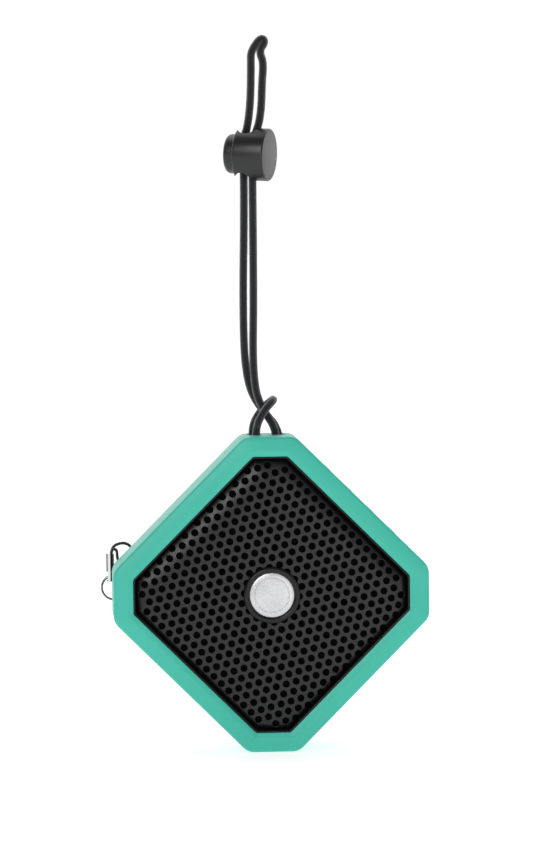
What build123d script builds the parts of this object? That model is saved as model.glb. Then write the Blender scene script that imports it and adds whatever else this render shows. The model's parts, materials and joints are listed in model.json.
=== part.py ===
from build123d import *
import os
from math import cos, pi, radians, sin, sqrt, tan

# Portable splash-proof bluetooth speaker, a square with cut corners that hangs from its lanyard
# with one corner up. Millimetres. The row's origin is the inside top of the lanyard loop, +Z is up,
# the grille faces -Y and +X is to the right of someone looking at the grille.

# ---- driving dimensions ----
across_flats = 90.0        # outer square, side to side
chamfer_face = 17.7        # length of each cut corner's face
corner_radius = 5.5        # rounding of the eight outer edges
front_z = 21.0             # inner lip of the bumper; depth runs from front_z to back_z
back_z = -21.0
parting_z = -5.0           # front and rear housings meet here
frame_inset = 6.8          # width of the bumper's front frame
crest_inset = 4.9          # the frame rises gently to a crest here, then falls to the opening
grille_inset = 7.6
bumper_wall = 3.4
housing_inset = 3.5
housing_wall = 2.2
baffle_top = 16.5
baffle_bottom = 13.5
rear_top_inset = 0.9       # the rear housing narrows from here ...
rear_back_inset = 10.0     # ... to here
rear_wall = 2.2

hole_pitch = 3.6           # grille perforation
hole_radius = 1.2
badge_radius = 9.85
badge_plate_radius = 7.8

cord_diameter = 2.8        # elastic lanyard
strand_gap = 2.95          # between the centres of the two strands
strap_diameter = 1.1       # thin strap at the left corner

hang_offset = (2.0, 4.0, -190.8)   # body centre, from the loop's inside top
lanyard_depth = 4.0        # the lanyard's plane, in front of mid depth
lock_turn = 20.5           # the cord lock is turned about the cord
strand_turn = 17.0         # and so is the pair of strands
lock_tilt = 2.5
lock_centre = (-1.405, -0.858, -38.45)
lock_radius = 9.15
lock_length = 11.3
lock_cord_place = -2.45    # where the cord crosses the lock, along its axis
plunger_travel = 2.0
plunger_radius = 6.85
plunger_proud = 4.0

button_travel = 0.5
button_places = {
    "button_power": -15.6, "button_play": -5.2, "button_volume_down": 5.2, "button_volume_up": 15.6}
screw_circle = 38.5        # housing screws, from the centre to each corner
driver_screw_circle = 21.8

ferrule_place = (-53.1, 19.0)      # x, y of the strap's ferrule
ring_centre = (-51.9, 19.0, -190.4)
ring_radius = 4.3
ring_wire = 0.5

nodes = {}


# ---- helpers; a "bench" shape lies on its back, with the grille facing up ----
def octagon(inset, radius):
    """Outline of the square with cut corners, moved in by inset from the outside."""
    side = across_flats - 2 * inset
    cut = (chamfer_face - 2 * inset * tan(radians(22.5))) / sqrt(2)
    outline = chamfer(Rectangle(side, side).vertices(), cut)
    return fillet(outline.vertices(), radius) if radius else outline


def slab(inset, radius, low, high):
    return Pos(0, 0, low) * extrude(octagon(inset, radius), high - low)


def tapered(low, high):
    """Solid between two outlines, each given as inset, corner radius and height."""
    outlines = [Pos(0, 0, z) * octagon(inset, radius) for inset, radius, z in (low, high)]
    return loft(outlines, ruled=True)


def disc(radius, low, high, x=0.0, y=0.0):
    return Pos(x, y, (low + high) / 2) * Cylinder(radius, high - low)


def tube(outer, inner, low, high, x=0.0, y=0.0):
    return disc(outer, low, high, x, y) - disc(inner, low - 1, high + 1, x, y)


def block(x0, x1, y0, y1, z0, z1):
    return Pos((x0 + x1) / 2, (y0 + y1) / 2, (z0 + z1) / 2) * Box(x1 - x0, y1 - y0, z1 - z0)


def across_rod(radius, x0, x1, y, z):
    """A rod along X."""
    return Pos((x0 + x1) / 2, y, z) * Rot(0, 90, 0) * Cylinder(radius, x1 - x0)


def stand_up(shape, turn=0.0):
    """Bench to row frame: turn about the grille's axis, stand up with the grille to -Y, hang."""
    return Pos(*hang_offset) * Rot(90, 0, 0) * Rot(0, 0, turn) * shape


def corner_points(radius):
    return [(radius * cos(radians(45 + 90 * k)), radius * sin(radians(45 + 90 * k))) for k in range(4)]


def add(name, shape, turn=45.0):
    """Keep bench shapes whose sides lie along X and Y; the 45 degree turn puts a corner up."""
    pieces = shape if isinstance(shape, list) else [shape]
    nodes[name] = [stand_up(piece, turn) for piece in pieces]


def cord_tube(name, points, diameter, tight=None):
    """Straight runs joined by tangent arcs; tight gives the radius at a corner by number."""
    tight = tight or {}
    radii = []
    for i in range(1, len(points) - 1):
        before = Vector(*points[i]) - Vector(*points[i - 1])
        after = Vector(*points[i + 1]) - Vector(*points[i])
        turn = before.get_angle(after)
        reach = 0.45 * min(before.length, after.length)
        radii.append(tight.get(i, reach / tan(radians(turn / 2))))
    path = FilletPolyline(*points, radius=radii)
    plane = Plane(origin=path @ 0, z_dir=path % 0)
    solid = sweep(plane * Circle(diameter / 2), path=path)
    expected = pi * diameter ** 2 / 4 * path.length
    print(name, "length", round(path.length, 1), "volume ratio", round(solid.volume / expected, 4))
    print("  radii", [round(r, 1) for r in radii])
    return solid


# ---- front: bumper, bezel, grille, badge ----
button_window = (42.0, 0.4, 11.6)      # length along the side, low z, high z
door_window = (25.4, 0.4, 11.6)


def front_bumper():
    crown = front_z - 1.0
    body = slab(0, corner_radius, parting_z + 0.05, crown)
    body += tapered((0, corner_radius, crown), (crest_inset, 3.2, front_z))
    body = fillet(body.edges().filter_by_position(Axis.Z, crown - 0.05, crown + 0.05), 1.3)
    body -= slab(frame_inset, 1.6, 0, front_z + 1)
    body -= slab(bumper_wall, 1.9, parting_z - 1, front_z - 3.5)
    body -= tapered((frame_inset, 1.6, front_z - 0.6), (crest_inset + 0.1, 3.0, front_z + 0.01))
    length, low, high = button_window
    body -= block(40, 46, -length / 2, length / 2, low, high)
    length, low, high = door_window
    body -= block(-length / 2, length / 2, -46, -40, low, high)
    body -= disc(0.7, low - 2.2, high + 2.2, 10.8, -43.3)
    for x in (-4.75, 3.8):
        slot = extrude(RectangleRounded(4.9, 7.2, 2.3), 12, both=True)
        body -= Rot(0, 0, -45) * Pos(x, 50, lanyard_depth) * Rot(90, 0, 0) * slot
    return body


def bezel_ring():
    body = slab(frame_inset + 0.1, 1.5, baffle_top, front_z - 0.9)
    body += slab(5.3, 2.0, baffle_top, front_z - 3.6)
    body -= slab(grille_inset - 0.1, 1.2, baffle_top - 1, front_z + 1)
    return chamfer(body.edges().group_by(Axis.Z)[-1], 0.15)


def grille_holes():
    row_gap = hole_pitch * sqrt(3) / 2
    holes = []
    for row in range(-11, 12):
        shift = hole_pitch / 2 if row % 2 else 0.0
        for step in range(-11, 12):
            x = row * row_gap
            y = step * hole_pitch + shift
            inside = abs(y) < 36.3 and (abs(x) + abs(y)) / sqrt(2) < 45.75
            if inside and sqrt(x * x + y * y) > badge_radius - 0.6:
                holes.append((x, y))
    return holes


def grille():
    top = 20.6
    sheet = slab(grille_inset, 1.2, 19.2, top)
    sheet = chamfer(sheet.edges().group_by(Axis.Z)[-1], 0.8, 0.8)
    skirt = slab(grille_inset, 1.2, baffle_top, 19.2) - slab(grille_inset + 1.2, 0.8, baffle_top - 1, 19.3)
    pins = Sketch() + [Pos(x, y) * Circle(hole_radius) for x, y in grille_holes()]
    sheet -= Pos(0, 0, 18) * extrude(pins, 5)
    return sheet + skirt


def driver_parts():
    """A 45 mm full-range driver, front mounted in the baffle."""
    gasket = tube(22.9, 20.9, 15.0, 15.4)
    basket = tube(22.8, 19.6, 15.4, 16.4)
    cup = loft([Pos(0, 0, 6.0) * Circle(14.2), Pos(0, 0, 15.4) * Circle(20.8)])
    cup -= loft([Pos(0, 0, 6.8) * Circle(13.3), Pos(0, 0, 15.5) * Circle(19.9)])
    cup -= disc(13.3, 6.7, 16) + disc(7.4, 5, 7)
    for k in range(4):
        window = Rot(0, 0, 90 * k) * block(8, 24, -7, 7, 8.6, 13.2)
        cup -= window
    floor = tube(14.2, 7.4, 6.0, 6.8)
    shelf = tube(14.9, 11.95, 8.0, 8.6)
    screws = []
    for x, y in corner_points(driver_screw_circle):
        basket -= disc(0.8, 15, 17, x, y)
        gasket -= disc(0.8, 14, 17, x, y)
        screws.append(disc(0.75, 13.8, 16.4, x, y) + disc(1.1, 16.4, 17.0, x, y))
    add("driver_gasket", gasket)
    add("driver_basket", basket + cup + floor + shelf)
    add("driver_screws", screws)
    add("driver_magnet", tube(14.5, 8.2, 0.0, 4.4))
    add("driver_top_plate", tube(13.6, 7.0, 4.4, 6.0))
    add("driver_yoke", disc(13.6, -1.6, 0.0) + disc(5.9, -0.1, 6.0))
    add("voice_coil", tube(6.7, 6.3, 1.4, 10.3))
    outer = loft([Pos(0, 0, 10.0) * Circle(7.2), Pos(0, 0, 16.0) * Circle(16.6)])
    inner = loft([Pos(0, 0, 10.5) * Circle(7.2), Pos(0, 0, 16.5) * Circle(16.6)])
    cone = outer - inner - disc(6.7, 9, 17)
    add("driver_cone", cone + tube(17.2, 16.2, 15.7, 16.2))
    cap = Sphere(9.0)
    cap = Pos(0, 0, 4.3) * (cap - Sphere(8.6)) - block(-20, 20, -20, 20, -20, 10.35)
    add("dust_cap", cap)
    roll = Rot(90, 0, 0) * Pos(18.45, 15.75) * (Circle(1.15) - Circle(0.85))
    roll -= Rot(90, 0, 0) * Pos(18.45, 14.45) * Rectangle(4, 2.6)
    add("driver_surround", revolve(roll, Axis.Z) + tube(19.5, 19.3, 15.75, 16.1))
    spider = tube(11.9, 6.85, 8.1, 8.5)
    for radius in (8.2, 9.6, 11.0):
        spider += tube(radius + 0.3, radius - 0.3, 8.4, 8.8)
    add("driver_spider", spider)


# ---- housings ----
def front_housing():
    body = slab(housing_inset, 2.2, -4.4, baffle_top)
    body -= slab(housing_inset + housing_wall, 1.6, parting_z - 1, baffle_bottom)
    body -= disc(20.9, 12, 18)
    body -= disc(23.0, 15.0, 18)
    for x, y in corner_points(driver_screw_circle):
        body -= disc(0.7, 12, 16, x, y)
    for x, y in corner_points(screw_circle):
        body += disc(3.3, -4.4, baffle_bottom, x, y)
        body -= disc(1.15, -5, 10, x, y)
    pocket_low = 42.6
    boss = block(-9.0, 8.1, pocket_low - 2.0, 51.2, lanyard_depth - 5.8, lanyard_depth + 5.8)
    pocket = block(-6.95, 6.05, pocket_low, 53, lanyard_depth - 3.7, lanyard_depth + 3.7)
    bar_hole = disc(1.3, lanyard_depth - 5.2, lanyard_depth + 5.2, -0.5, 48.6)
    body += (Rot(0, 0, -45) * boss) & slab(housing_inset, 2.2, -4.4, baffle_top)
    body -= Rot(0, 0, -45) * pocket
    body -= Rot(0, 0, -45) * bar_hole
    for place in button_places.values():
        body -= across_rod(1.55, 38, 43, place, 6.0)
    for y in (-19.3, 19.3):
        body += block(36.6, 40, y - 1.0, y + 1.0, 3.0, 9.0)
    body -= block(-10.3, -1.7, -43, -38, 2.3, 5.7)
    body -= Pos(4.0, -40, 5.6) * Rot(90, 0, 0) * Cylinder(2.9, 6)
    return body


strap_eye = (-25.24, 40.94)     # on the upper left side, near the left corner
strap_eye_z = -15.0
board_posts = [(19.0, 0.0), (-19.0, 0.0), (0.0, 19.0), (0.0, -19.0)]


def rear_housing():
    body = tapered((rear_back_inset, 3.0, back_z), (rear_top_inset, 5.0, parting_z))
    body = fillet(body.faces().sort_by(Axis.Z)[0].edges(), 1.6)
    body -= tapered((12.2, 1.5, back_z + rear_wall), (5.9, 2.0, parting_z))
    for x, y in corner_points(screw_circle):
        body += disc(3.9, back_z + 0.6, parting_z, x, y)
        body -= disc(1.45, back_z - 1, parting_z + 1, x, y)
        body -= disc(3.0, back_z - 1, -16.0, x, y)
    body += disc(7.0, back_z + 1, -13.5)
    body -= disc(5.0, back_z - 1, -12)
    for x, y in board_posts:
        body += disc(2.5, back_z + 1, -12.6, x, y)
        body -= disc(0.8, -17.5, -12, x, y)
    x, y = strap_eye
    lug = block(x - 2.3, x + 2.3, y - 4.6, y, strap_eye_z - 1.6, strap_eye_z + 1.6)
    lug += disc(2.3, strap_eye_z - 1.6, strap_eye_z + 1.6, x, y)
    lug -= disc(1.15, strap_eye_z - 4, strap_eye_z + 4, x, y)
    return body + lug


def housing_parts():
    add("housing_seal", slab(3.9, 2.0, parting_z, -4.4) - slab(5.4, 1.5, parting_z - 1, -4))
    screws = []
    for x, y in corner_points(screw_circle):
        head = disc(2.8, -17.8, -16.0, x, y)
        drive = Pos(x, y, -17.8) * extrude(RegularPolygon(1.2, 6), 1.0)
        screws.append(head - drive + disc(1.25, -16.0, 1.0, x, y))
    add("housing_screws", screws)
    bar = disc(1.3, lanyard_depth - 5.2, lanyard_depth + 5.2, -0.5, 48.6)
    add("lanyard_bar", bar, 0)
    add("tripod_insert", disc(5.0, back_z, -13.5) - disc(2.6, back_z - 1, -14.5))


# ---- controls and ports ----
def control_parts():
    panel = block(41.6, 44.5, -20.8, 20.8, 0.6, 11.4)
    panel = fillet(panel.edges().filter_by(Axis.X), 1.5)
    for place in button_places.values():
        panel -= block(41, 46, place - 3.7, place + 3.7, 2.7, 9.3)
    panel -= across_rod(0.65, 41, 46, 0, 10.3)
    add("button_panel", panel)
    for name, place in button_places.items():
        cap = block(42.2, 45.0, place - 3.6, place + 3.6, 2.8, 9.2)
        cap = fillet(cap.edges().filter_by(Axis.X), 1.2)
        cap = fillet(cap.faces().sort_by(Axis.X)[-1].edges(), 0.5)
        add(name, cap + across_rod(1.5, 38.4, 42.3, place, 6.0))
    switches = []
    for place in button_places.values():
        switches.append(block(36.6, 37.4, place - 2.2, place + 2.2, 3.8, 8.2) + across_rod(0.9, 37.3, 37.8, place, 6.0))
    add("tact_switches", switches)
    add("button_board", block(35.4, 36.6, -20.5, 20.5, 1.4, 10.9))
    add("status_lens", across_rod(0.6, 41.5, 44.4, 0, 10.3))


def port_parts():
    door = block(-12.4, 10.8, -44.6, -42.0, 0.6, 11.4)
    door = fillet(door.edges().filter_by(Axis.Y).sort_by(Axis.X)[:2], 1.5)
    door += disc(1.3, 0.6, 11.4, 10.8, -43.3)
    door += Pos(4.0, -41.7, 5.6) * Rot(90, 0, 0) * Cylinder(1.6, 0.8)
    door += block(-8.6, -3.4, -42.1, -41.3, 3.3, 4.7)
    door += fillet(block(-11.6, -10.2, -45.0, -44.5, 3.0, 9.0).edges().filter_by(Axis.Y), 0.5)
    door -= disc(0.76, 0, 12, 10.8, -43.3)
    add("port_door", door)
    add("door_pin", disc(0.7, -1.6, 13.6, 10.8, -43.3))
    socket = block(-10.1, -1.9, -41.0, -35.2, 2.6, 5.4) - block(-9.7, -2.3, -42, -36.0, 3.0, 5.0)
    add("charge_socket", socket + block(-8.2, -3.8, -39.8, -35.6, 3.7, 4.2))
    jack = block(0.9, 7.1, -39.2, -27.0, 2.6, 8.6) + Pos(4.0, -40.0, 5.6) * Rot(90, 0, 0) * Cylinder(2.75, 2.0)
    jack -= Pos(4.0, -35.5, 5.6) * Rot(90, 0, 0) * Cylinder(1.8, 14)
    add("audio_jack", jack)
    add("port_board", block(-12, 10, -39, -26, 1.4, 2.6))


def electronics():
    board = block(-24, 24, -24, 24, -12.6, -11.4) - disc(4.0, -14, -10)
    board = fillet(board.edges().filter_by(Axis.Z).sort_by(lambda e: -e.center().length)[:4], 2.0)
    for x, y in board_posts:
        board -= disc(1.1, -14, -10, x, y)
    add("main_board", board)
    screws = []
    for x, y in board_posts:
        screws.append(disc(0.95, -17.0, -11.4, x, y) + disc(1.8, -11.4, -10.4, x, y))
    add("board_screws", screws)
    add("bluetooth_module", block(7, 17, 6, 16, -11.4, -9.9))
    add("amplifier_chip", block(-16, -11, 8, 13, -11.4, -10.3))
    add("battery_tray", block(-17.5, 17.5, -12.6, 12.6, -9.7, -8.9) + block(-17.5, 17.5, -12.6, -12.0, -9.7, -4.2)
        + block(-17.5, 17.5, 12.0, 12.6, -9.7, -4.2))
    battery = block(-17, 17, -11.9, 11.9, -8.9, -2.9)
    add("battery_cell", fillet(battery.edges().filter_by(Axis.X), 1.4))
    add("battery_pad", block(-13, 13, -9, 9, -2.9, -1.6))
    add("microphone", disc(2.0, -11.4, -9.9, -14.0, -10.0))
    wires = []
    for shift in (0.0, 1.6):
        route = [(shift, 13.4, 9.3), (shift, 24.6, 9.4), (shift, 26.0, -6.5), (shift, 22.0, -11.4)]
        wires.append(cord_tube("speaker lead", route, 1.2))
    add("speaker_leads", wires)
    leads = []
    for shift in (-0.8, 0.8):
        leads.append(cord_tube("battery lead", [(17.0, shift, -6.0), (19.6, shift, -6.0), (20.4, shift, -11.4)], 1.2))
    add("battery_leads", [Pos(0, 6, 0) * lead for lead in leads])


# ---- lanyard and its lock; points are in the row frame ----
strand_x = strand_gap / 2 * cos(radians(strand_turn))
strand_y = strand_gap / 2 * sin(radians(strand_turn))
pair_x = -3.7
near = (pair_x + strand_x, -strand_y)
far = (pair_x - strand_x, strand_y)

lanyard_route = [
    (-2.2, -1.6, -142.1), (-2.2, -1.6, -146.5), (5.2, -1.6, -146.5), (5.2, -1.65, -134.6),
    (1.0, -1.5, -127.9), (-1.9, -1.5, -122.6), (-2.5, -0.9, -115.5), (near[0], near[1], -106.0),
    (near[0], near[1], -27.0), (1.4, -0.3, -17.5), (2.25, 0.0, 0.5), (0.0, 0.0, 1.8),
    (-2.25, 0.0, 0.5), (-2.3, 0.2, -17.5), (far[0], far[1], -27.0), (far[0], far[1], -106.0),
    (-4.6, 1.0, -116.5), (-2.4, 1.5, -123.4), (1.1, 1.5, -128.4), (6.3, 1.65, -134.4),
    (6.4, 1.6, -146.5), (-3.3, 1.6, -146.5), (-3.3, 1.65, -134.4), (-1.8, 4.5, -130.4),
    (1.6, 5.0, -126.3), (4.2, 3.0, -123.9), (4.2, -3.0, -123.9), (1.6, -5.0, -126.3),
    (-1.0, -4.5, -130.4), (-2.2, -1.65, -134.4), (-2.2, -1.6, -141.9)]
lanyard_tight = {1: 2.6, 2: 2.6, 10: 2.1, 11: 2.1, 12: 2.1, 20: 2.8, 21: 2.8}

strap_route = [
    (-52.7, 19.6, -178.4), (-52.6, 19.7, -176.6), (-50.6, 20.5, -175.1), (-47.2, 21.8, -174.9),
    (-44.9, 21.9, -177.3), (-44.75, 21.2, -179.7), (-44.85, 16.8, -179.8), (-46.9, 15.6, -181.2),
    (-49.4, 16.6, -182.2), (-50.7, 18.0, -180.2), (-50.7, 18.4, -176.9), (-52.7, 18.4, -176.8),
    (-52.7, 18.4, -178.9)]


def lock_place(shape):
    return Pos(*lock_centre) * Rot(0, 0, -lock_turn) * Rot(0, lock_tilt, 0) * shape


def cord_slot(low, high, width):
    """Upright slot through the lock, from low to high along its axis."""
    middle = (low + high) / 2
    outline = RectangleRounded(high - low, width, width / 2 - 0.05)
    return Pos(*lock_centre) * Rot(0, 0, -lock_turn) * Pos(middle, 0, 0) * extrude(outline, 14, both=True)


def lanyard_parts():
    nodes["lanyard_cord"] = cord_tube("lanyard", lanyard_route, cord_diameter, lanyard_tight)
    x, y, z = lanyard_route[0]
    sleeve = Cylinder(1.65, 3.4) - Cylinder(cord_diameter / 2, 5)
    nodes["cord_splice"] = Pos(x, y, z + 0.1) * sleeve
    half = lock_length / 2
    barrel = across_rod(lock_radius, -half, half, 0, 0)
    barrel = fillet(barrel.edges().sort_by(Axis.X)[-1], 0.6)
    barrel = fillet(barrel.edges().sort_by(Axis.X)[0], 0.9)
    barrel -= across_rod(plunger_radius + 0.08, -half - 1, half - 1.0, 0, 0)
    place = lock_cord_place
    barrel -= Pos(place - 0.3, 0, -12) * extrude(Ellipse(3.6, 6.6), 9)
    barrel -= Pos(place + 0.4, 0, 3) * extrude(Ellipse(4.0, 5.6), 9)
    nodes["lock_barrel"] = lock_place(barrel) - cord_slot(place - 3.05, place + 3.05, 3.6)
    right = place + 2.95 + 0.85
    plunger = across_rod(plunger_radius, -half - plunger_proud, right, 0, 0)
    plunger = fillet(plunger.edges().sort_by(Axis.X)[0], 1.6)
    slot = cord_slot(place - 2.98 - plunger_travel, place + 2.98, 3.5)
    nodes["lock_plunger"] = lock_place(plunger) - slot
    spring = across_rod(5.2, right, half - 1.0, 0, 0) - across_rod(4.7, right - 1, half, 0, 0)
    nodes["lock_spring"] = lock_place(spring)


def strap_parts():
    nodes["strap_cord"] = cord_tube("strap", strap_route, strap_diameter)
    x, y = ferrule_place
    low, high = -188.3, -178.4
    ferrule = Pos(x, y, (low + high) / 2) * Cylinder(1.45, high - low)
    ferrule = fillet(ferrule.edges().sort_by(Axis.Z)[0], 0.3)
    ferrule -= block(x - 3, x + 3, y - 1.05, y + 1.05, -187.8, -184.8)
    nodes["strap_ferrule"] = ferrule
    nodes["split_ring"] = Pos(*ring_centre) * Rot(90, 0, 0) * Torus(ring_radius, ring_wire)


# ---- assemble ----
add("front_bumper", front_bumper())
add("bezel_ring", bezel_ring())
add("grille", grille())
add("grille_cloth", slab(9.6, 0.5, 18.8, 19.2))
add("badge_rim", tube(badge_radius, badge_plate_radius + 0.05, 20.6, 22.4) + disc(badge_radius, 20.6, 20.9))
add("badge_plate", disc(badge_plate_radius, 20.9, 22.0))
driver_parts()
add("front_housing", front_housing())
add("rear_housing", rear_housing())
housing_parts()
control_parts()
port_parts()
electronics()
lanyard_parts()
strap_parts()

os.makedirs("parts", exist_ok=True)
for name, shape in nodes.items():
    pieces = shape if isinstance(shape, list) else [shape]
    solids = [solid for piece in pieces for solid in piece.solids()]
    export_step(solids[0] if len(solids) == 1 else Compound(children=solids), f"parts/{name}.step")
print(len(nodes), "nodes")
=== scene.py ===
import json
from math import cos, pi, radians, sin, sqrt, tan

import bmesh
import bpy
from mathutils import Matrix, Vector

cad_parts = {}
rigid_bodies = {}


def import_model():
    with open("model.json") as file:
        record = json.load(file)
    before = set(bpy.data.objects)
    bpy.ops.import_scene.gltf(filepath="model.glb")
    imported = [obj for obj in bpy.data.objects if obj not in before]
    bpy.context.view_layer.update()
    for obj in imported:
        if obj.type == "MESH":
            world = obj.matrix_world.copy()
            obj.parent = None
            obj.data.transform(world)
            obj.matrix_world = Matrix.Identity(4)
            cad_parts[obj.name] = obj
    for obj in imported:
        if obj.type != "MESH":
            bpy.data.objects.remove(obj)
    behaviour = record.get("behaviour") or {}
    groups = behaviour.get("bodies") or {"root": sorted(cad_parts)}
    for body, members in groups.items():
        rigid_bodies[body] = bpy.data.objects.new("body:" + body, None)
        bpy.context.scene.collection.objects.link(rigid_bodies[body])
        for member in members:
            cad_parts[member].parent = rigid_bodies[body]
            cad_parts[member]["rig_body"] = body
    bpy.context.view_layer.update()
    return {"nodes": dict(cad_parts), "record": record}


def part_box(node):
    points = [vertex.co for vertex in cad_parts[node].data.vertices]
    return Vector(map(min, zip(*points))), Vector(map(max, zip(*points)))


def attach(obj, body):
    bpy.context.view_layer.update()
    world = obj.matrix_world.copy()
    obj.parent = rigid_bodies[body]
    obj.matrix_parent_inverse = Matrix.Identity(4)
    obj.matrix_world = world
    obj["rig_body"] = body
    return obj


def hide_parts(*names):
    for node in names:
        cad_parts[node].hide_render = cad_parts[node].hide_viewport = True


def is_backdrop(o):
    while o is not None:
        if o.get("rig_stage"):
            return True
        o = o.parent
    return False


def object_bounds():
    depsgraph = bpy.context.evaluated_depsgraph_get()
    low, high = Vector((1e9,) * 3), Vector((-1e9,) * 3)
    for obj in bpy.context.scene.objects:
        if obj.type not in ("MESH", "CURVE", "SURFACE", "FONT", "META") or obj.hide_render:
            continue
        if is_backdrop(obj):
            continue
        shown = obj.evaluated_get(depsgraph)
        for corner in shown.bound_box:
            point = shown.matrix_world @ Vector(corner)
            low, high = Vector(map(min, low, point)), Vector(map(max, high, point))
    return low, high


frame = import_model()
nodes = frame["nodes"]
scene = bpy.context.scene
scene.view_settings.view_transform = "Standard"
mm = 0.001


# bench shapes lie on their back about the body's middle with the grille up, and standUp turns them upright
frontHeight = 21.0
badgeLow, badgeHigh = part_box("badge_rim")
bumperLow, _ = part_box("front_bumper")
badgeMiddle = (badgeLow + badgeHigh) / 2
hang = Vector((badgeMiddle.x, bumperLow.y + frontHeight * mm, badgeMiddle.z))
standUp = Matrix.Translation(hang) @ Matrix.Rotation(pi / 2, 4, "X") @ Matrix.Rotation(pi / 4, 4, "Z")


# ---- camera ----
cameraSettings = {
    "place": (-0.08213, -1.59117, -0.04332), "yaw": 3.08, "pitch": 3.22, "roll": -0.72, "lens": 303.1}


def makeCamera(s):
    yaw, pitch, roll = radians(s["yaw"]), radians(s["pitch"]), radians(s["roll"])
    ahead = Vector((sin(yaw) * cos(pitch), cos(yaw) * cos(pitch), -sin(pitch)))
    right = Vector((cos(yaw), -sin(yaw), 0))
    up = right.cross(ahead)
    axes = (cos(roll) * right + sin(roll) * up, -sin(roll) * right + cos(roll) * up, -ahead)
    lens = bpy.data.cameras.new("frontView")
    lens.lens, lens.sensor_width, lens.sensor_fit = s["lens"], 36, "HORIZONTAL"
    lens.clip_start, lens.clip_end = 0.05, 20
    camera = bpy.data.objects.new("frontView", lens)
    camera.matrix_world = Matrix.Translation(s["place"]) @ Matrix(axes).transposed().to_4x4()
    scene.collection.objects.link(camera)
    scene.camera = camera


makeCamera(cameraSettings)
print("camera ready")


# ---- node trees written as sums ----
class Term:  # a socket that ordinary arithmetic works on
    def __init__(self, recipe, socket):
        self.recipe, self.socket = recipe, socket

    def maths(self, operation, *others):
        return self.recipe.sum(operation, self, *others)

    def __add__(self, other):
        return self.maths("ADD", other)

    def __sub__(self, other):
        return self.maths("SUBTRACT", other)

    def __rsub__(self, other):
        return self.recipe.sum("SUBTRACT", other, self)

    def __mul__(self, other):
        return self.maths("MULTIPLY", other)

    def __truediv__(self, other):
        return self.maths("DIVIDE", other)

    def __mod__(self, other):
        return self.maths("FLOORED_MODULO", other)

    def __gt__(self, other):
        return self.maths("GREATER_THAN", other)

    def __lt__(self, other):
        return self.maths("LESS_THAN", other)

    def __abs__(self):
        return self.maths("ABSOLUTE")

    __radd__, __rmul__ = __add__, __mul__


class Recipe:
    def __init__(self, tree):
        self.tree = tree

    def node(self, kind, settings=None, sockets=None, out=0):
        made = self.tree.nodes.new(kind)
        for name, value in (settings or {}).items():
            setattr(made, name, value)
        for name, value in (sockets or {}).items():
            target = made.inputs[name]
            if isinstance(value, Term):
                self.tree.links.new(value.socket, target)
            else:
                target.default_value = value
        return Term(self, made.outputs[out])

    def sum(self, operation, *values):
        return self.node("ShaderNodeMath", {"operation": operation}, dict(enumerate(values)))

    def parts(self, vector):
        split = self.node("ShaderNodeSeparateXYZ", None, {0: vector})
        return [Term(self, socket) for socket in split.socket.node.outputs]

    def place(self, turn=0.0, centre=(0, 0, 0)):
        coords = self.node("ShaderNodeTexCoord", out=3)
        sockets = {0: coords, 1: centre, 2: (0, turn, 0)}
        return self.node("ShaderNodeMapping", {"vector_type": "TEXTURE"}, sockets)

    def noise(self, scale, detail=3.0, rough=0.5, warp=0.0):
        return self.node("ShaderNodeTexNoise", None, {
            "Vector": self.place(), "Scale": scale, "Detail": detail, "Roughness": rough, "Distortion": warp})

    def cells(self, scale):
        return self.node("ShaderNodeTexVoronoi", None, {"Vector": self.place(), "Scale": scale})

    def blend(self, factor, low, high):
        lows, highs = [(*c, 1) if isinstance(c, tuple) else c for c in (low, high)]
        return self.node("ShaderNodeMix", {"data_type": "RGBA"}, {0: factor, 6: lows, 7: highs}, out=2)

    def bump(self, height, depth, strength=1.0):
        sockets = {"Height": height, "Distance": depth, "Strength": strength}
        return self.node("ShaderNodeBump", None, sockets)

    def limit(self, value, low, high, to=(0.0, 1.0)):
        return self.node("ShaderNodeMapRange", None, {0: value, 1: low, 2: high, 3: to[0], 4: to[1]})


def linear(r, g, b):
    return tuple((c / 255 / 12.92) if c < 11 else ((c / 255 + 0.055) / 1.055) ** 2.4 for c in (r, g, b))


finishes = {}


def finish(name, constants, paint):
    material = bpy.data.materials.new(name)
    material.use_nodes = True
    recipe = Recipe(material.node_tree)
    shader = material.node_tree.nodes["Principled BSDF"]
    for socket, value in constants.items():
        shader.inputs[socket].default_value = value
    for socket, value in paint(recipe).items():
        if isinstance(value, Term):
            material.node_tree.links.new(value.socket, shader.inputs[socket])
        else:
            shader.inputs[socket].default_value = (*value, 1) if isinstance(value, tuple) else value
    finishes[name] = material
    return material


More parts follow.
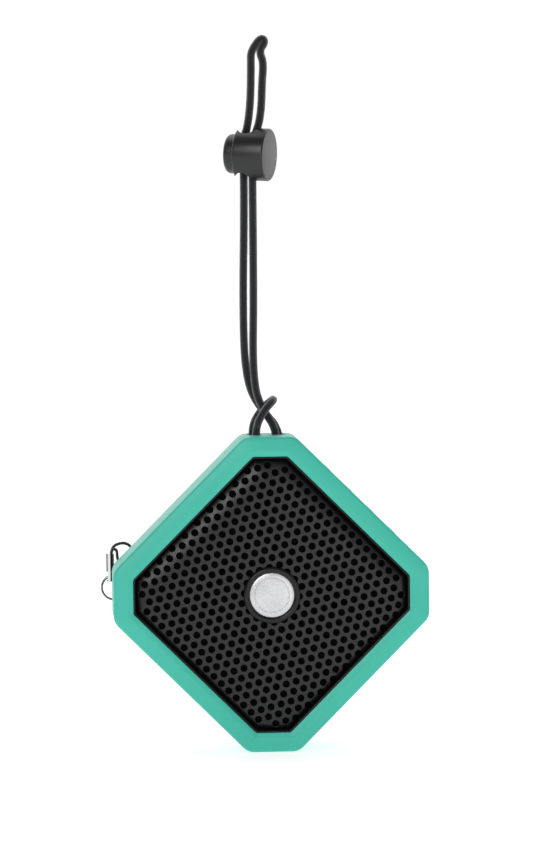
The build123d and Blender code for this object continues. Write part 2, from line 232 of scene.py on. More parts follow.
# ---- cords ----
lanyard = {
    "points": [
        (-2.2, -1.6, -142.1), (-2.2, -1.6, -146.5), (5.2, -1.6, -146.5), (5.2, -1.65, -134.6),
        (1.0, -1.5, -127.9), (-1.6, -1.5, -122.6), (-2.5, -0.9, -115.5), (-2.7, -0.5, -106.0),
        (-2.3, -0.43, -92.0), (-2.15, -0.43, -70.0), (-2.1, -0.43, -46.0), (-2.1, -0.43, -34.0),
        (0.3, -0.4, -28.4), (1.35, -0.3, -22.0), (1.65, -0.1, -13.5), (2.3, 0.0, -6.5),
        (0.75, -0.4, -2.6), (3.1, 0.2, 0.7), (1.5, 0.3, 2.2), (-2.1, 0.1, -2.6),
        (-2.1, 0.1, -7.0), (-2.25, 0.2, -14.5), (-2.6, 0.3, -21.5), (-3.5, 0.4, -28.4),
        (-5.05, 0.43, -34.0), (-5.05, 0.43, -46.0), (-5.25, 0.43, -64.0), (-5.8, 0.43, -84.0),
        (-5.85, 0.45, -102.0), (-5.4, 0.8, -111.0), (-4.4, 1.2, -118.0), (-2.4, 1.5, -123.4),
        (1.1, 1.5, -128.4), (6.3, 1.65, -134.4), (6.4, 1.6, -146.5), (-3.3, 1.6, -146.5),
        (-3.3, 1.65, -134.4), (-1.8, 4.5, -130.4), (1.6, 5.0, -126.3), (4.2, 3.0, -123.9),
        (4.2, -3.0, -123.9), (1.6, -5.0, -126.3), (-1.0, -4.5, -130.4), (-2.2, -1.65, -134.4),
        (-2.2, -1.6, -141.9)],
    "diameter": 2.8, "length": 373.5, "exit": (5.8, 0.0, -135.9),
    "around": 26, "every": 0.3, "ribs": 13, "relief": 0.035}
strap = {
    "points": [
        (-52.7, 19.6, -178.4), (-52.6, 19.7, -176.6), (-50.6, 20.5, -175.1), (-47.2, 21.8, -174.9),
        (-44.9, 21.9, -177.3), (-44.75, 21.2, -179.7), (-44.85, 16.8, -179.8), (-46.9, 15.6, -181.2),
        (-49.4, 16.6, -182.2), (-50.7, 18.0, -180.2), (-50.7, 18.4, -176.9), (-52.7, 18.4, -176.8),
        (-52.7, 18.4, -178.9)],
    "diameter": 1.1, "length": 31.7, "exit": (-44.8, 20.5, -179.0),
    "around": 16, "every": 0.15, "ribs": 4, "relief": 0.05}


def routeLine(points):
    curve = bpy.data.curves.new("route", "CURVE")
    curve.dimensions, curve.resolution_u = "3D", 24
    spline = curve.splines.new("NURBS")
    spline.points.add(len(points) - 1)
    for point, place in zip(spline.points, points):
        point.co = (*[c * mm for c in place], 1)
    spline.order_u, spline.use_endpoint_u = 3, True
    holder = bpy.data.objects.new("route", curve)
    scene.collection.objects.link(holder)
    line = bpy.data.meshes.new_from_object(holder.evaluated_get(bpy.context.evaluated_depsgraph_get()))
    places = [v.co.copy() for v in line.vertices]
    bpy.data.objects.remove(holder)
    bpy.data.meshes.remove(line)
    return places


def evenly(places, step):
    run = [0.0]
    for a, b in zip(places, places[1:]):
        run.append(run[-1] + (b - a).length)
    count = max(2, round(run[-1] / step))
    spread, i = [], 0
    for k in range(count + 1):
        want = run[-1] * k / count
        while i < len(run) - 2 and run[i + 1] < want:
            i += 1
        share = (want - run[i]) / max(run[i + 1] - run[i], 1e-12)
        spread.append(places[i].lerp(places[i + 1], min(share, 1.0)))
    return spread


def tubeAlong(name, places, around, radius):  # radius is a function of the angle and the distance run
    verts, faces, uvs = [], [], []
    side = (places[1] - places[0]).orthogonal().normalized()
    run = 0.0
    for i, place in enumerate(places):
        ahead = (places[min(i + 1, len(places) - 1)] - places[max(i - 1, 0)]).normalized()
        side = (side - ahead * side.dot(ahead)).normalized()
        other = ahead.cross(side)
        run += (place - places[i - 1]).length if i else 0
        for k in range(around):
            angle = 2 * pi * k / around
            verts.append(place + (side * cos(angle) + other * sin(angle)) * radius(angle, run))
            uvs.append((k / around, run / mm))
    for i in range(len(places) - 1):
        for k in range(around):
            a, b = i * around + k, i * around + (k + 1) % around
            faces.append((a, b, b + around, a + around))
    caps = [tuple(reversed(range(around))), tuple(range(len(verts) - around, len(verts)))]
    mesh = bpy.data.meshes.new(name)
    mesh.from_pydata(verts, [], faces + caps)
    layer = mesh.uv_layers.new(name="run")
    for face in mesh.polygons:
        wraps = len(face.vertices) == 4 and any(v % around == around - 1 for v in face.vertices)
        for loop in face.loop_indices:
            v = mesh.loops[loop].vertex_index
            u = uvs[v][0] + (1 if wraps and v % around == 0 else 0)
            layer.data[loop].uv = (u, uvs[v][1])
    mesh.shade_smooth()
    return mesh


def putIn(name, mesh, finishName, body, stands=()):
    piece = bpy.data.objects.new(name, mesh)
    scene.collection.objects.link(piece)
    mesh.materials.clear()
    mesh.materials.append(finishes[finishName])
    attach(piece, body)
    if stands:
        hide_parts(*stands)
    return piece


stitches = {"columns": 14, "perMillimetre": 1.9, "slant": 1.4}


def knit(r):  # slanted stitches in columns, on the cord's own run, with painted highlight on their tops and painted shade in their grooves
    across, along, _ = r.parts(r.node("ShaderNodeUVMap", {"uv_map": "run"}))
    slant = abs((across * stitches["columns"] % 1) - 0.5)
    turn = (along * stitches["perMillimetre"] + slant * stitches["slant"]) * 2 * pi
    stitch = r.sum("SINE", turn) * 0.5 + 0.5
    groove = r.limit(slant, 0.34, 0.5)
    fuzz = r.noise(2600, 4, 0.6)
    height = stitch * (1 - groove) + fuzz * 0.5
    # painted light and shade: colour follows stitch height, lighter on the tops and near black in the grooves
    paintedStitchShading = r.limit(height, 0.1, 1.3)
    return {"Base Color": r.blend(paintedStitchShading, linear(9, 9, 10), linear(40, 40, 42)),
            "Roughness": 0.62 + fuzz * 0.25, "Normal": r.bump(height, 0.00012, 0.8)}


finish("cordBlack", {"Sheen Weight": 1.0, "Sheen Roughness": 0.42, "Sheen Tint": (0.75, 0.76, 0.8, 1),
                     "Specular IOR Level": 0.15}, knit)


def makeCord(name, s, node):
    line = evenly(routeLine(s["points"]), s["every"] * mm)
    half, ribs, relief = s["diameter"] / 2 * mm, s["ribs"], s["relief"] * mm
    mesh = tubeAlong(name, line, s["around"],
                     lambda angle, run: half - relief * (0.5 + 0.5 * cos(ribs * angle + run / mm * 1.5)))
    piece = putIn(name, mesh, "cordBlack", "root", [node])


print("cord makers ready")


# ---- finishes ----
def plastic(low, high, grain, depth, rough=(0.4, 0.5), drift=30):
    def paint(r):
        fine, broad = r.noise(grain, 3, 0.6), r.noise(drift, 2)
        tone = r.limit(broad * 0.7 + fine * 0.3, 0.3, 0.7)
        return {"Base Color": r.blend(tone, linear(*low), linear(*high)),
                "Roughness": r.limit(fine, 0.3, 0.7, rough), "Normal": r.bump(fine, depth)}
    return paint


def metal(low, high, rough=(0.2, 0.35)):
    def paint(r):
        fine, broad = r.noise(1400, 3, 0.6), r.noise(120, 2)
        tone = r.limit(broad * 0.5 + fine * 0.5, 0.35, 0.65)
        return {"Base Color": r.blend(tone, linear(*low), linear(*high)),
                "Roughness": r.limit(fine, 0.3, 0.7, rough), "Normal": r.bump(fine, 0.00001), "Metallic": 1.0}
    return paint


def texturedShell(r):  # moulded spark-eroded texture
    pits, broad = r.cells(1500), r.noise(40, 2)
    fine = r.noise(2800, 3, 0.6)
    return {"Base Color": r.blend(r.limit(broad, 0.3, 0.7), linear(27, 27, 29), linear(36, 36, 38)),
            "Roughness": r.limit(fine, 0.3, 0.7, (0.42, 0.58)),
            "Normal": r.bump(pits * 0.6 + fine * 0.4, 0.00005, 0.8)}


def weave(pitch, low, high):
    def paint(r):
        x, _, z = r.parts(r.place(pi / 4, tuple(hang)))
        step = 2 * pi / pitch
        over = r.sum("SINE", x * step) * r.sum("SINE", z * step)
        thread = over * 0.5 + 0.5
        fuzz = r.noise(3000, 3, 0.6)
        tone = r.limit(thread * 0.7 + fuzz * 0.5, 0.2, 0.9)
        return {"Base Color": r.blend(tone, linear(*low), linear(*high)),
                "Roughness": 0.75 + fuzz * 0.2, "Normal": r.bump(thread + fuzz * 0.3, 0.0001)}
    return paint


def brushedRound(r):  # fine turned rings about the badge's centre, over a faint haze
    x, _, z = r.parts(r.place(0.0, tuple(hang)))
    out = r.sum("SQRT", x * x + z * z)
    sockets = {"W": out, "Scale": 9000.0, "Detail": 4.0}
    rings = r.node("ShaderNodeTexNoise", {"noise_dimensions": "1D"}, sockets)
    tone = r.limit(rings * 0.6 + r.noise(160, 3) * 0.4, 0.3, 0.7)
    return {"Base Color": r.blend(tone, linear(186, 186, 187), linear(214, 214, 215)), "Metallic": 0.85,
            "Roughness": r.limit(rings, 0.3, 0.7, (0.3, 0.42)), "Normal": r.bump(rings, 0.000012)}


def turns(r):  # copper wire laid turn on turn along the driver's axis
    wireGauge = 0.22 * mm
    _, y, _ = r.parts(r.place())
    wire = r.sum("SINE", y * (2 * pi / wireGauge)) * 0.5 + 0.5
    tone = r.noise(400, 2)
    return {"Base Color": r.blend(tone, linear(150, 78, 42), linear(206, 122, 74)), "Metallic": 1.0,
            "Roughness": 0.25 + tone * 0.15, "Normal": r.bump(wire, 0.00008)}


def paper(r):
    fibre, broad = r.noise(900, 5, 0.7, warp=0.6), r.noise(90, 3)
    return {"Base Color": r.blend(fibre * 0.6 + broad * 0.4, linear(24, 24, 26), linear(52, 51, 50)),
            "Roughness": 0.72 + fibre * 0.2, "Normal": r.bump(fibre, 0.00012)}


def circuit(r):  # solder mask over a maze of tracks
    lanePitch, runLength = 0.9 * mm, 4.2 * mm
    x, _, z = r.parts(r.place(pi / 4, tuple(hang)))
    lane = z / lanePitch
    cell = r.node("ShaderNodeCombineXYZ", None, {0: r.sum("FLOOR", x / runLength), 1: r.sum("FLOOR", lane)})
    breaks = r.node("ShaderNodeTexWhiteNoise", {"noise_dimensions": "2D"}, {0: cell})
    track = (abs(lane % 1 - 0.5) < 0.22) * (breaks > 0.45)
    grain = r.noise(700, 3)
    return {"Base Color": r.blend(track * 0.7 + grain * 0.2, linear(14, 66, 40), linear(44, 120, 74)),
            "Roughness": 0.3 + grain * 0.12, "Normal": r.bump(track, 0.00003)}


def foil(r):
    crease, fine = r.noise(240, 4, 0.7, warp=1.2), r.noise(2400, 2)
    return {"Base Color": r.blend(crease, linear(168, 170, 172), linear(206, 208, 210)), "Metallic": 0.9,
            "Roughness": 0.28 + fine * 0.14, "Normal": r.bump(crease, 0.0002)}


def sponge(r):
    pores, fine = r.cells(2200), r.noise(900, 3)
    return {"Base Color": r.blend(pores * 0.8 + fine * 0.3, linear(70, 70, 72), linear(112, 112, 114)),
            "Roughness": 0.85 + fine * 0.1, "Normal": r.bump(pores, 0.0002)}


def sleeveWithPaintedReflections(r):  # bright chrome sleeve with painted dark reflections at its sides and down its middle
    across, _, _ = r.parts(r.node("ShaderNodeTexCoord"))
    fine = r.noise(900, 3, 0.6)
    # painted reflection: bands across the sleeve turn the metal's colour dark at its sides and middle
    paintedDarkReflection = r.limit(abs((across + 0.43) * 2 % 1 - 0.5), 0.26, 0.42)
    return {"Base Color": r.blend(paintedDarkReflection, linear(206, 207, 209), linear(20, 20, 22)),
            "Roughness": r.limit(fine, 0.3, 0.7, (0.12, 0.2))}


def coated(weight, paint):
    return lambda r: {**paint(r), "Coat Weight": weight}


def makeFinishes():
    finish("tealShell", {"IOR": 1.46, "Coat Roughness": 0.35, "Specular IOR Level": 0.45},
           coated(0.15, plastic((50, 176, 155), (58, 182, 161), 2200, 0.000012, (0.4, 0.5), 26)))
    finish("blackShell", {"Specular IOR Level": 0.45}, texturedShell)
    finish("blackTrim", {"Coat Roughness": 0.25, "Specular IOR Level": 0.3},
           coated(0.05, plastic((8, 8, 9), (14, 14, 15), 1600, 0.00001, (0.3, 0.4))))
    finish("grilleBlack", {"Specular IOR Level": 0.42},
           plastic((8, 8, 9), (15, 15, 16), 3200, 0.00002, (0.3, 0.42)))
    # the cloth's own black, painted darker still as the shade seen through the grille's holes
    finish("grilleCloth", {"Specular IOR Level": 0.05}, weave(0.7 * mm, (1, 1, 1), (7, 7, 8)))
    finish("badgeMetal", {}, brushedRound)
    finish("softBlack", {"Specular IOR Level": 0.35},
           plastic((24, 24, 25), (34, 34, 35), 1800, 0.00002, (0.6, 0.75)))
    finish("steel", {}, metal((150, 151, 153), (186, 187, 189)))
    finish("chrome", {"Metallic": 1.0}, sleeveWithPaintedReflections)
    finish("ringSteel", {}, metal((118, 116, 112), (150, 148, 144), (0.16, 0.26)))
    finish("brass", {}, metal((186, 148, 82), (214, 178, 108)))
    finish("copperCoil", {}, turns)
    finish("ferrite", {}, plastic((44, 45, 48), (66, 67, 70), 1500, 0.00006, (0.5, 0.7)))
    finish("driverBlack", {}, plastic((20, 20, 21), (32, 32, 33), 1500, 0.00002, (0.35, 0.5)))
    finish("conePaper", {}, paper)
    finish("spiderCloth", {}, weave(0.9 * mm, (120, 84, 44), (176, 132, 78)))
    finish("boardGreen", {}, circuit)
    finish("chipBlack", {}, plastic((26, 26, 28), (40, 40, 42), 1300, 0.00002, (0.45, 0.6)))
    finish("clearLens", {"IOR": 1.49, "Coat Roughness": 0.1},
           coated(0.4, plastic((200, 206, 208), (222, 226, 228), 900, 0.00001, (0.12, 0.2))))
    finish("batteryFoil", {}, foil)
    finish("foamGrey", {}, sponge)
    finish("leadRed", {}, plastic((150, 22, 20), (182, 36, 30), 1200, 0.00001, (0.35, 0.5)))
    finish("lockBlack", {"Specular IOR Level": 0.5},
           plastic((13, 13, 14), (20, 20, 21), 1500, 0.00001, (0.32, 0.4)))
    finish("printGrey", {}, plastic((170, 172, 174), (190, 192, 194), 1500, 0.000005, (0.5, 0.6)))


makeFinishes()


def finishOf(slot):
    words = slot.split("_")
    return words[0] + "".join(word.capitalize() for word in words[1:])


slotOf = {part["node"]: part["material_slot"] for part in frame["record"]["subparts"]}
for node, piece in nodes.items():
    piece.data.materials.clear()
    piece.data.materials.append(finishes[finishOf(slotOf[node])])
print("finishes ready", len(finishes))


# ---- pieces taken over from the solids with softened edges ----
softening = {"sharp": 32, "flatten": 0.4, "segments": 3}


def refined(node, name, soften):
    sharp = radians(softening["sharp"])
    work = bmesh.new()
    work.from_mesh(nodes[node].data)
    bmesh.ops.remove_doubles(work, verts=work.verts, dist=2e-6)
    flat = radians(softening["flatten"])
    bmesh.ops.dissolve_limit(work, angle_limit=flat, verts=work.verts, edges=work.edges)
    mesh = bpy.data.meshes.new(name)
    work.to_mesh(mesh)
    work.free()
    mesh.shade_smooth()
    mesh.set_sharp_from_angle(angle=sharp)
    piece = putIn(name, mesh, finishOf(slotOf[node]), nodes[node]["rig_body"], [node])
    bevel = piece.modifiers.new("softEdges", "BEVEL")
    bevel.width, bevel.segments, bevel.limit_method = soften * mm, softening["segments"], "ANGLE"
    bevel.angle_limit, bevel.harden_normals = sharp, True
    return piece


softened = {
    "front_bumper": ("frontBumper", 0.25), "bezel_ring": ("bezelRing", 0.15),
    "rear_housing": ("rearHousing", 0.25), "button_panel": ("buttonPanel", 0.15),
    "port_door": ("portDoor", 0.15), "lock_barrel": ("lockBarrel", 0.25),
    "lock_plunger": ("lockPlunger", 0.2), "strap_ferrule": ("strapFerrule", 0.12),
    "housing_screws": ("housingScrews", 0.1),
    "button_power": ("buttonPower", 0.1), "button_play": ("buttonPlay", 0.1),
    "button_volume_down": ("buttonVolumeDown", 0.1), "button_volume_up": ("buttonVolumeUp", 0.1),
    "cord_splice": ("cordSplice", 0.1), "tripod_insert": ("tripodInsert", 0.15)}
pieces = {node: refined(node, name, soften) for node, (name, soften) in softened.items()}
print("softened pieces ready", len(pieces))


# ---- outlines of the square with cut corners ----
bodyShape = {"across": 90.0, "cutFace": 17.7, "cutAway": 54.79}


cornerSteps = 6


def octagonRing(inset, cornerRadius):
    half = bodyShape["across"] / 2 - inset
    cut = (bodyShape["cutFace"] - 2 * inset * tan(pi / 8)) / sqrt(2)
    corners = [(half, cut - half), (half, half - cut), (half - cut, half), (cut - half, half),
               (-half, half - cut), (-half, cut - half), (cut - half, -half), (half - cut, -half)]
    ring = []
    for k, corner in enumerate(corners):
        here, last, then = Vector(corner), Vector(corners[k - 1]), Vector(corners[(k + 1) % 8])
        before, after = (last - here).normalized(), (then - here).normalized()
        reach = cornerRadius * tan(pi / 8)
        middle = here + (before + after).normalized() * cornerRadius / cos(pi / 8)
        start, end = here + before * reach - middle, here + after * reach - middle
        turn = start.angle_signed(end)
        for i in range(cornerSteps + 1):
            ring.append(middle + Matrix.Rotation(-turn * i / cornerSteps, 2) @ start)
    return ring


def ringMesh(name, profile, capped=False):  # profile is a list of inset, corner radius and height
    rings = []
    for inset, radius, z in profile:
        rings.append([(p.x * mm, p.y * mm, z * mm) for p in octagonRing(inset, radius)])
    count = len(rings[0])
    verts = [v for ring in rings for v in ring]
    faces = []
    for i in range(len(rings) - 1):
        for k in range(count):
            a, b = i * count + k, i * count + (k + 1) % count
            faces.append((a, b, b + count, a + count))
    if capped:
        faces += [tuple(reversed(range(count))), tuple(range(len(verts) - count, len(verts)))]
    mesh = bpy.data.meshes.new(name)
    mesh.from_pydata(verts, [], faces)
    return mesh


# ---- grille: punched sheet with a rolled border ----
grille = {
    "Pitch": 3.6, "Hole Radius": 1.2, "Punched Lip": 0.12, "Thickness": 0.8, "Badge Clear": 9.2,
    "Half Across": 37.4, "Half Cut": 47.19, "Flat Half": 36.3, "Roll": 11.0, "Roll Depth": 3.7}
grilleTop, grilleInset, grilleCorner = 20.6, 7.6, 1.2
holeSides, holeRows, holeBorder = 14, 23, 1.44


def perforatedSheet():
    tree = bpy.data.node_groups.new("perforatedSheet", "GeometryNodeTree")
    face = tree.interface
    face.new_socket(name="Geometry", in_out="INPUT", socket_type="NodeSocketGeometry")
    for name in grille:
        face.new_socket(name=name, in_out="INPUT", socket_type="NodeSocketFloat")
    face.new_socket(name="Finish", in_out="INPUT", socket_type="NodeSocketMaterial")
    face.new_socket(name="Geometry", in_out="OUTPUT", socket_type="NodeSocketGeometry")
    r = Recipe(tree)
    source = tree.nodes.new("NodeGroupInput")
    given = {socket.name: Term(r, socket) for socket in source.outputs if socket.name}
    pitch, hole, lip, thick = [given[n] for n in ("Pitch", "Hole Radius", "Punched Lip", "Thickness")]

    def fromEdge():
        x, y, _ = r.parts(r.node("GeometryNodeInputPosition"))
        sides = given["Half Across"] - r.sum("MAXIMUM", abs(x), abs(y))
        cuts = given["Half Cut"] - (abs(x) + abs(y)) * sqrt(0.5)
        return r.sum("SMOOTH_MIN", sides, cuts, 1.5 * mm)

    # a hexagonal lattice of as many rows as holes in a row
    index = r.node("GeometryNodeInputIndex")
    row = r.sum("FLOOR", index / holeRows + 0.001)
    step = index - row * holeRows
    shift = 0.5 * ((row + 1) % 2)
    middle = holeRows // 2
    spot = r.node("ShaderNodeCombineXYZ", None,
                  {0: (row - middle) * pitch * (sqrt(3) / 2), 1: (step - middle + shift) * pitch})
    points = r.node("GeometryNodePoints", None, {"Count": holeRows ** 2, "Position": spot})
    x, y, _ = r.parts(r.node("GeometryNodeInputPosition"))
    keep = abs(y) < given["Flat Half"]
    keep = keep * ((abs(x) + abs(y)) * sqrt(0.5) < given["Half Cut"] - holeBorder * mm)
    keep = keep * (r.sum("SQRT", x * x + y * y) > given["Badge Clear"])
    points = r.node("GeometryNodeDeleteGeometry", {"domain": "POINT"},
                    {"Geometry": points, "Selection": 1 - keep})

    def onPoints(shape):
        spread = r.node("GeometryNodeInstanceOnPoints", None, {"Points": points, "Instance": shape})
        return r.node("GeometryNodeRealizeInstances", None, {0: spread})

    def joined(*shapes):
        node = tree.nodes.new("GeometryNodeJoinGeometry")
        for shape in reversed(shapes):
            tree.links.new(shape.socket, node.inputs[0])
        return Term(r, node.outputs[0])

    def moved(shape, height):
        lift = r.node("ShaderNodeCombineXYZ", None, {2: height})
        return r.node("GeometryNodeTransform", None, {"Geometry": shape, "Translation": lift})

    edges = r.node("GeometryNodeInputMeshEdgeNeighbors")
    _, _, height = r.parts(r.node("GeometryNodeInputPosition"))
    rim = (edges < 1.5) * (height > thick * -0.5)
    under = (edges < 1.5) * (height < thick * -0.5)

    def panel(selection, radius):
        edge = r.node("GeometryNodeMeshToCurve", None, {"Mesh": given["Geometry"], "Selection": selection})
        circle = r.node("GeometryNodeCurvePrimitiveCircle", None,
                        {"Resolution": holeSides, "Radius": radius})
        level = r.node("GeometryNodeSetPosition", None, {"Geometry": edge, "Position": flatSpot()})
        return r.node("GeometryNodeFillCurve", None, {0: joined(level, onPoints(circle))})

    def flatSpot():
        px, py, _ = r.parts(r.node("GeometryNodeInputPosition"))
        return r.node("ShaderNodeCombineXYZ", None, {0: px, 1: py})

    def collar(topRadius, bottomRadius, depth, height):
        cone = r.node("GeometryNodeMeshCone", {"fill_type": "NONE"}, {
            "Vertices": holeSides, "Side Segments": 1, "Radius Top": topRadius,
            "Radius Bottom": bottomRadius, "Depth": depth})
        turned = r.node("GeometryNodeFlipFaces", None, {0: cone})
        return moved(onPoints(turned), height)

    top = panel(rim, hole + lip)
    bottom = r.node("GeometryNodeFlipFaces", None, {0: moved(panel(under, hole), thick * -1)})
    softLip = collar(hole + lip, hole, lip, lip * -1)
    wall = collar(hole, hole, thick - lip, thick * -1)
    whole = joined(given["Geometry"], top, bottom, softLip, wall)
    whole = r.node("GeometryNodeMergeByDistance", None, {"Geometry": whole, "Distance": 4e-6})
    whole = r.node("GeometryNodeSubdivideMesh", None, {"Mesh": whole, "Level": 1})
    inward = r.limit(fromEdge() / given["Roll"], 0.0, 1.0)
    slope = 1 - inward
    drop = (1 - r.sum("SQRT", r.sum("MAXIMUM", 1 - slope * slope, 0.0))) * given["Roll Depth"] * -1
    offset = r.node("ShaderNodeCombineXYZ", None, {2: drop})
    whole = r.node("GeometryNodeSetPosition", None, {"Geometry": whole, "Offset": offset})
    whole = r.node("GeometryNodeRealizeInstances", None, {0: whole})
    whole = r.node("GeometryNodeSetMaterial", None, {"Geometry": whole, "Material": given["Finish"]})
    result = tree.nodes.new("NodeGroupOutput")
    tree.links.new(whole.socket, result.inputs[0])
    return tree


def grownMesh(name, base, tree, values):
    holder = bpy.data.objects.new(name, base)
    scene.collection.objects.link(holder)
    modifier = holder.modifiers.new(name, "NODES")
    modifier.node_group = tree
    for item in tree.interface.items_tree:
        if item.in_out == "INPUT" and item.name in values:
            modifier[item.identifier] = values[item.name]
    mesh = bpy.data.meshes.new_from_object(holder.evaluated_get(bpy.context.evaluated_depsgraph_get()))
    bpy.data.objects.remove(holder)
    return mesh


def makeGrille():
    border = [(0.06, 0.0), (0.0, -0.06), (0.0, -0.9), (0.06, -0.8)]
    base = ringMesh("grilleBorder", [(grilleInset + d, grilleCorner, z) for d, z in border])
    lengths = {name: value * mm for name, value in grille.items()}
    values = {**lengths, "Finish": finishes["grilleBlack"]}
    mesh = grownMesh("speakerGrille", base, perforatedSheet(), values)
    mesh.name = "speakerGrille"
    mesh.transform(standUp @ Matrix.Translation((0, 0, grilleTop * mm)))
    work = bmesh.new()
    work.from_mesh(mesh)
    bmesh.ops.recalc_face_normals(work, faces=work.faces)
    work.to_mesh(mesh)
    work.free()
    mesh.shade_smooth()
    mesh.set_sharp_from_angle(angle=radians(28))
    print("grille faces", len(mesh.polygons))
    putIn("speakerGrille", mesh, "grilleBlack", "root", ["grille"])


def rolledDrop(fromEdge):
    slope = 1 - min(max(fromEdge / grille["Roll"], 0), 1)
    return (1 - sqrt(max(1 - slope * slope, 0))) * grille["Roll Depth"]


def makeCloth():
    profile = []
    for fromEdge in (0.15, 0.15, 0.6, 1.2, 2.0, 3.0, 4.2, 5.6, 7.2, 9.0, 20.0):
        height = grilleTop - grille["Thickness"] - 0.25 - rolledDrop(fromEdge) - (0 if profile else 0.3)
        profile.append((grilleInset + fromEdge, 1.0, height))
    mesh = ringMesh("grilleCloth", profile, capped=True)
    mesh.transform(standUp)
    putIn("grilleCloth", mesh, "grilleCloth", "root", ["grille_cloth"])


makeGrille()
makeCloth()
print("grille ready")


# ---- badge: a plain turned medallion ----
badge = {
    "ring": [(9.85, 20.62), (9.85, 21.4), (9.75, 21.8), (9.5, 22.12), (9.15, 22.32), (8.8, 22.38),
             (8.4, 22.32), (8.05, 22.12), (7.86, 21.9), (7.82, 21.3), (7.82, 20.62)],
    "disc": [(7.8, 20.9), (7.8, 21.45), (7.72, 21.6), (7.55, 21.68), (6.15, 21.78), (6.05, 21.66),
             (5.85, 21.66), (5.75, 21.8), (3.0, 21.9), (0.0, 21.93)],
    "around": 96}


def spun(name, profile, closed=False):  # profile is a list of radius and height; a last radius of 0 caps it
    around = badge["around"]
    verts, faces = [], []
    for radius, z in profile:
        for k in range(around if radius else 1):
            angle = 2 * pi * k / around
            verts.append((radius * cos(angle) * mm, radius * sin(angle) * mm, z * mm))
    rows = len(profile) - (0 if profile[-1][0] else 1)
    for i in range(rows if closed else rows - 1):
        for k in range(around):
            j = (i + 1) % rows
            a, b = i * around + k, i * around + (k + 1) % around
            faces.append((a, b, j * around + (k + 1) % around, j * around + k))
    if not profile[-1][0]:
        last, tip = (rows - 1) * around, rows * around
        faces += [(last + k, last + (k + 1) % around, tip) for k in range(around)]
        faces.append(tuple(reversed(range(around))))
    mesh = bpy.data.meshes.new(name)
    mesh.from_pydata(verts, [], faces)
    mesh.transform(standUp)
    mesh.shade_smooth()
    mesh.set_sharp_from_angle(angle=radians(50))
    return mesh


ringMade = spun("badgeRing", badge["ring"], closed=True)
putIn("badgeRing", ringMade, "blackTrim", "root", ["badge_rim"])
putIn("badgeDisc", spun("badgeDisc", badge["disc"]), "badgeMetal", "root", ["badge_plate"])
print("badge ready")


# ---- signs on the buttons ----
signs = {"thickness": 0.1, "sunk": 0.05, "proud": 45.0, "height": 6.0, "stroke": 0.42}


def signMesh(name, outlines, centre):
    work = bmesh.new()
    for outline in outlines:
        rings = []
        for x in (signs["proud"] - signs["sunk"], signs["proud"] + signs["thickness"]):
            ring = [(x * mm, (centre + a) * mm, (signs["height"] + b) * mm) for a, b in outline]
            rings.append([work.verts.new(place) for place in ring])
        under, over = rings
        work.faces.new(over)
        work.faces.new(list(reversed(under)))
        for k in range(len(outline)):
            then = (k + 1) % len(outline)
            work.faces.new((under[k], under[then], over[then], over[k]))
    bmesh.ops.recalc_face_normals(work, faces=work.faces)
    mesh = bpy.data.meshes.new(name)
    work.to_mesh(mesh)
    work.free()
    mesh.transform(standUp)
    return mesh


def bar(x0, x1, y0, y1):
    return [(x0, y0), (x1, y0), (x1, y1), (x0, y1)]


def openRing(radius, stroke, gap):
    count = 22
    angles = [radians(90 + gap + (360 - 2 * gap) * k / count) for k in range(count + 1)]
    inner, outlines = radius - stroke, []
    for a, b in zip(angles, angles[1:]):
        outlines.append([(out * cos(t), out * sin(t)) for out, t in
                         ((radius, a), (radius, b), (inner, b), (inner, a))])
    return outlines


def makeSigns():
    s = signs["stroke"]
    triangle = [(-1.4, -1.4), (0.9, 0.0), (-1.4, 1.4)]
    shapes = {
        "button_power": ("signPower", openRing(1.5, s, 32) + [bar(-s / 2, s / 2, 0.4, 1.9)], -15.6),
        "button_play": ("signPlay", [triangle, bar(1.2, 1.2 + s, -1.4, 1.4)], -5.2),
        "button_volume_down": ("signMinus", [bar(-1.4, 1.4, -s / 2, s / 2)], 5.2),
        "button_volume_up": ("signPlus", [bar(-1.4, 1.4, -s / 2, s / 2), bar(-s / 2, s / 2, s / 2, 1.4),
                                          bar(-s / 2, s / 2, -1.4, -s / 2)], 15.6)}
    for body, (name, outlines, centre) in shapes.items():
        putIn(name, signMesh(name, outlines, centre), "printGrey", body)


makeSigns()
print("signs ready")


# ---- split ring: two turns of wire, parted where one crosses to the other ----
ringShape = {"radius": 4.3, "wire": 0.4, "apart": 0.39, "parting": 200.0, "count": 150, "turns": 1.97}


def makeRing(s):
    low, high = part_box("split_ring")
    centre = (low + high) / 2
    places = []
    for k in range(s["count"] + 1):
        share = k / s["count"]
        turn = radians(s["parting"]) + 2 * pi * s["turns"] * share
        step = min(max((share - 0.46) / 0.08, 0.0), 1.0)
        aside = -s["apart"] + 2 * s["apart"] * step * step * (3 - 2 * step)
        places.append(centre + Vector((s["radius"] * cos(turn), aside, s["radius"] * sin(turn))) * mm)
    mesh = tubeAlong("splitRing", places, 12, lambda angle, run: s["wire"] * mm)
    return putIn("splitRing", mesh, "ringSteel", "ring", ["split_ring"])


pieces["split_ring"] = makeRing(ringShape)
print("split ring ready")

makeCord("lanyardCord", lanyard, "lanyard_cord")
makeCord("strapCord", strap, "strap_cord")
print("cords ready")


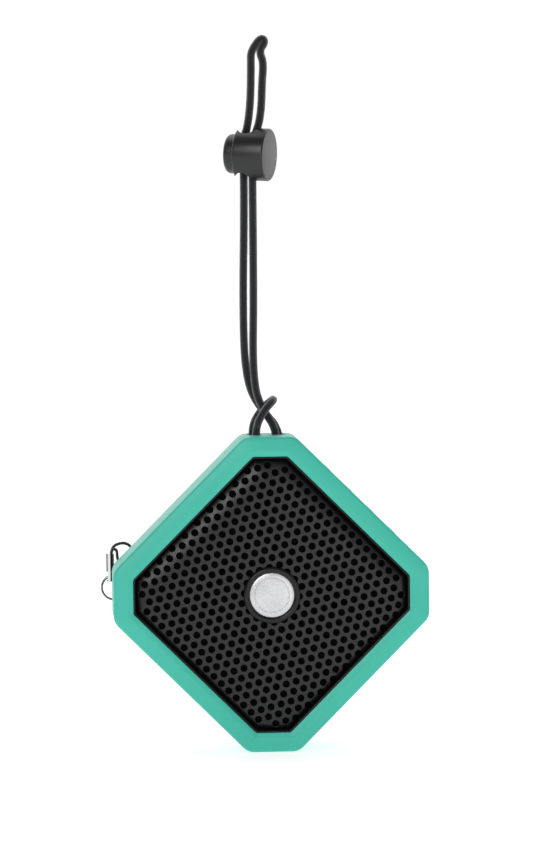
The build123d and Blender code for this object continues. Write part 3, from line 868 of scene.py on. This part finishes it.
# ---- floor and light ----
studio = {
    "floor": (214, 215, 216), "floorGlow": 0.64, "front": 0.18, "behind": 1.35,
    "lamps": {"keyLamp": ((-0.62, -1.45, 0.78), 0.7, 10.5), "sideLamp": ((1.1, -0.6, 0.3), 0.7, 1.6),
              "topLamp": ((0.0, 0.3, 1.2), 0.9, 2.4), "faceLamp": ((0.5, -1.9, 0.2), 0.9, 3.6)}}


def floorPaper(r):
    return {"Base Color": linear(*studio["floor"]), "Roughness": 0.75,
            "Emission Color": r.blend(r.noise(3, 2), (1.0, 1.0, 1.0), (0.99, 0.99, 0.99))}


def makeStudio(s):
    low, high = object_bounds()
    floorMesh = bpy.data.meshes.new("studioFloor")
    bottom = low.z - 0.0002
    corners = [(-9, -9, bottom), (9, -9, bottom), (9, 9, bottom), (-9, 9, bottom)]
    floorMesh.from_pydata(corners, [], [(0, 1, 2, 3)])
    floor = bpy.data.objects.new("studioFloor", floorMesh)
    scene.collection.objects.link(floor)
    constants = {"Specular IOR Level": 0.1, "Emission Strength": s["floorGlow"]}
    floorMesh.materials.append(finish("studioPaper", constants, floorPaper))
    floor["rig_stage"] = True
    world = bpy.data.worlds.new("studioWorld")
    scene.world = world
    world.use_nodes = True
    tree = world.node_tree
    r = Recipe(tree)
    _, depth, _ = r.parts(r.node("ShaderNodeTexCoord"))
    seen = r.node("ShaderNodeLightPath")
    glow = r.limit(depth, -0.1, 0.6, (s["front"], s["behind"]))
    strength = seen * 1.0 + (1 - seen) * glow
    backdrop = tree.nodes["Background"]
    backdrop.inputs[0].default_value = (1, 1, 1, 1)
    tree.links.new(strength.socket, backdrop.inputs[1])
    aim = (low + high) / 2
    aim.z = hang.z
    for name, (place, size, power) in s["lamps"].items():
        lamp = bpy.data.lights.new(name, "AREA")
        lamp.shape, lamp.size, lamp.energy = "DISK", size, power
        holder = bpy.data.objects.new(name, lamp)
        holder.location = aim + Vector(place)
        holder.rotation_euler = (aim - holder.location).to_track_quat("-Z", "Y").to_euler()
        scene.collection.objects.link(holder)


makeStudio(studio)
print("studio ready")
